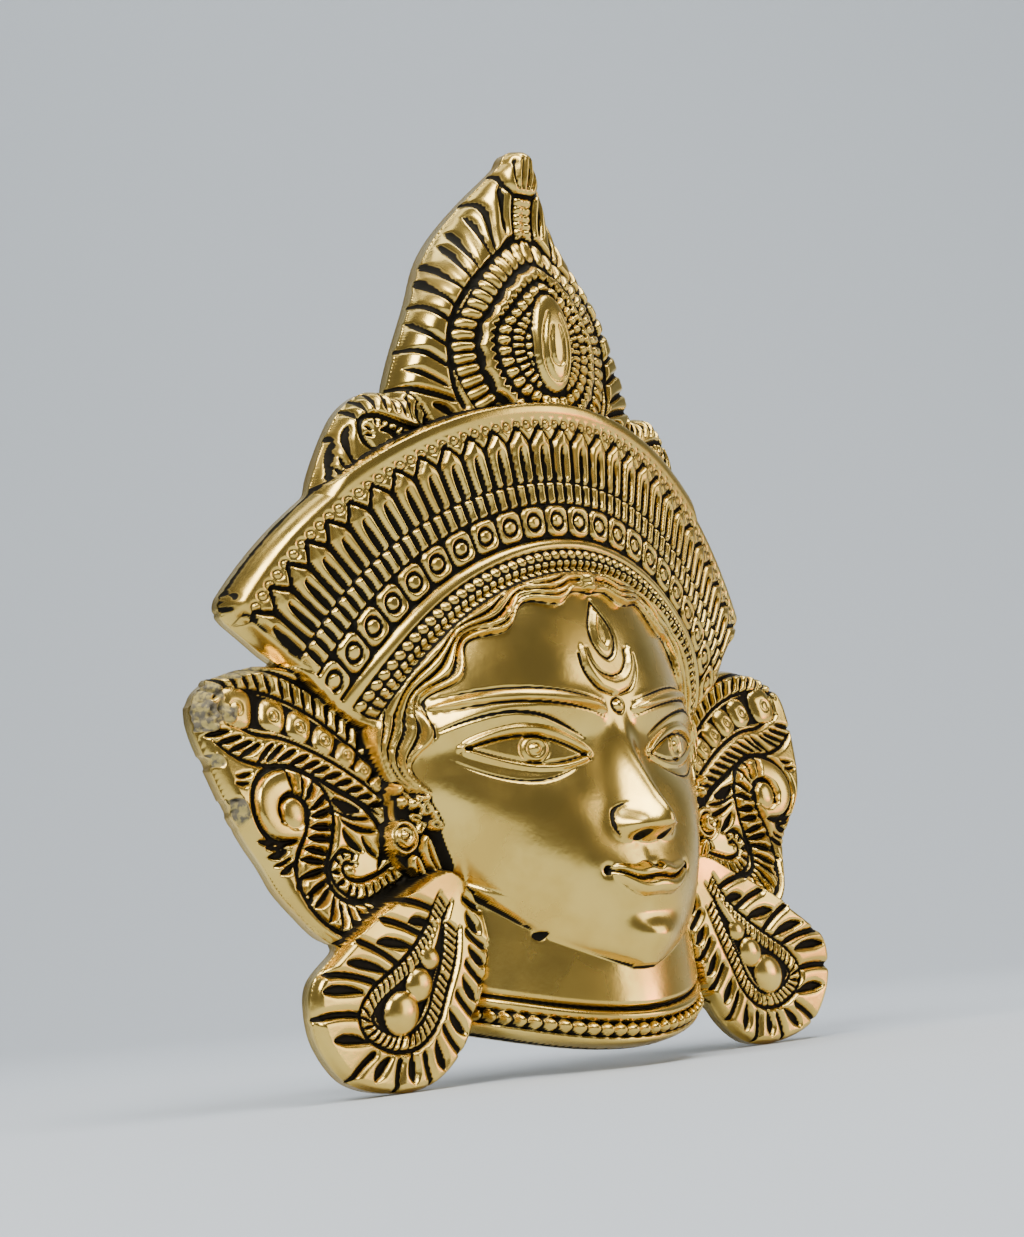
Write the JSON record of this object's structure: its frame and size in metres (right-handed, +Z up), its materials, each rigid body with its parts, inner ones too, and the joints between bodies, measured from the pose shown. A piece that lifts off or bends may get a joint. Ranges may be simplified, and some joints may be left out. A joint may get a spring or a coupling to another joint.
{
  "type": "wall mask",
  "caption": "Cast metal wall mask of a crowned temple goddess: calm face, leaf-topped crown, ear scrolls and drop pendants, hollow behind, with a flat hanging lug.",
  "frame": {"origin": "middle of the flat back of the hanging lug, in the wall plane", "axes": "+Z up, -Y the way the face looks, +Y into the wall, +X the viewer's right"},
  "size_m": [0.1524, 0.0491, 0.1782],
  "materials": {
    "gold_plate": "gold-plated casting, polished on the high places and dark in the hollows"
  },
  "bodies": {
    "root": {"mask_casting": "gold_plate"}
  },
  "joints": []
}
